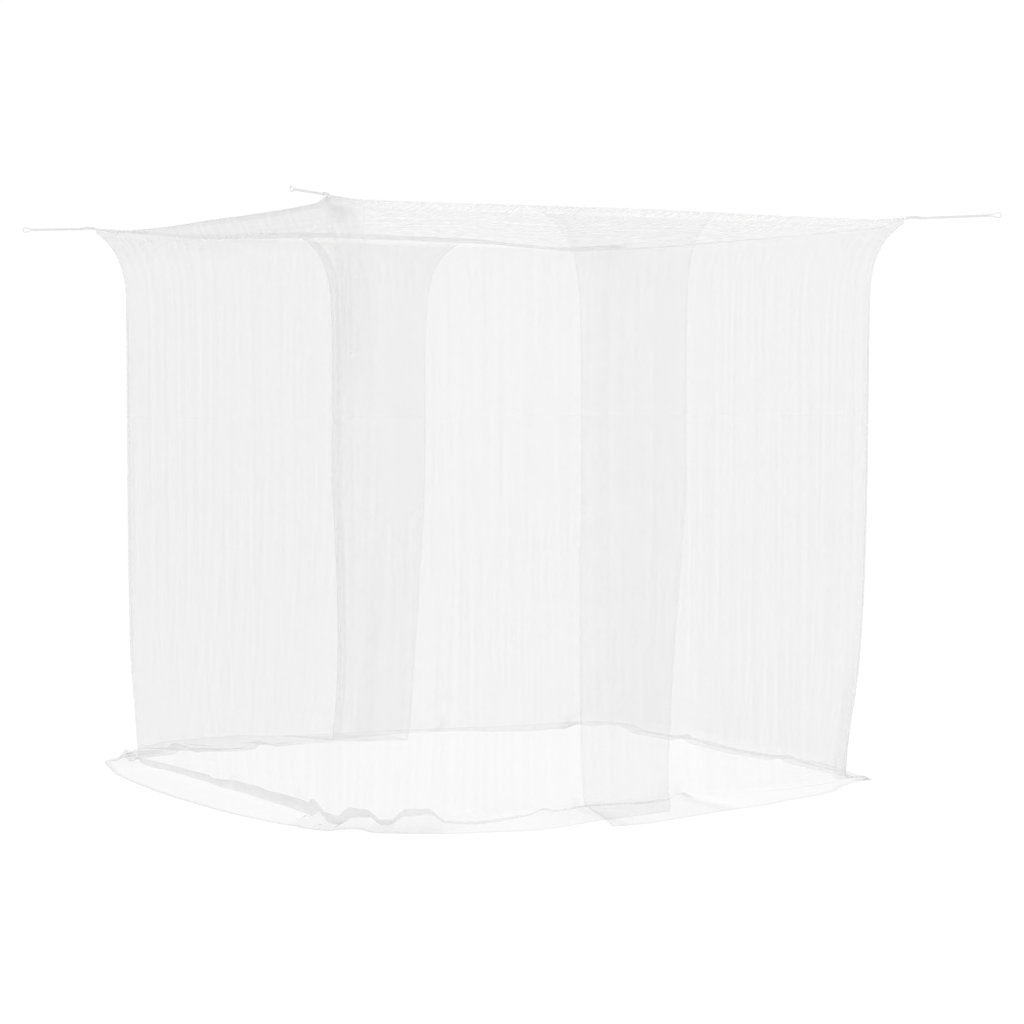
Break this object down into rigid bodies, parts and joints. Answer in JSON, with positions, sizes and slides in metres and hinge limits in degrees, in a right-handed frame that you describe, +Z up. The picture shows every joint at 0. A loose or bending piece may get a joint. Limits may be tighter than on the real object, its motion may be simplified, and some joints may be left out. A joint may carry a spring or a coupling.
{
  "type": "mosquito net canopy",
  "caption": "Box-shaped white mosquito net canopy with a flat net roof, overlapping curtain openings at the front and back, a hem that spills on to the floor and corner ties.",
  "frame": {"origin": "middle of the roof at the height of the four corner ties, which hold the canopy up; the floor is 1.927 m below it", "axes": "+Z up; -Y towards the front opening, +Y towards the back opening; +X along the longer side of the roof, to the right seen from the front"},
  "size_m": [2.6736, 2.6893, 1.946],
  "materials": {
    "net": "fine see-through knitted net, matt white",
    "binding": "narrow woven tape folded over the seam, matt white",
    "tape": "folded woven tape, matt white",
    "cord": "thin braided cord, matt white"
  },
  "bodies": {
    "root": {"roof_panel": "net", "edge_binding": "binding", "curtain_left": "net", "curtain_right": "net", "tab_front_left": "tape", "tab_front_right": "tape", "tab_back_right": "tape", "tab_back_left": "tape", "tie_front_left": "cord", "tie_front_right": "cord", "tie_back_right": "cord", "tie_back_left": "cord"}
  },
  "joints": []
}
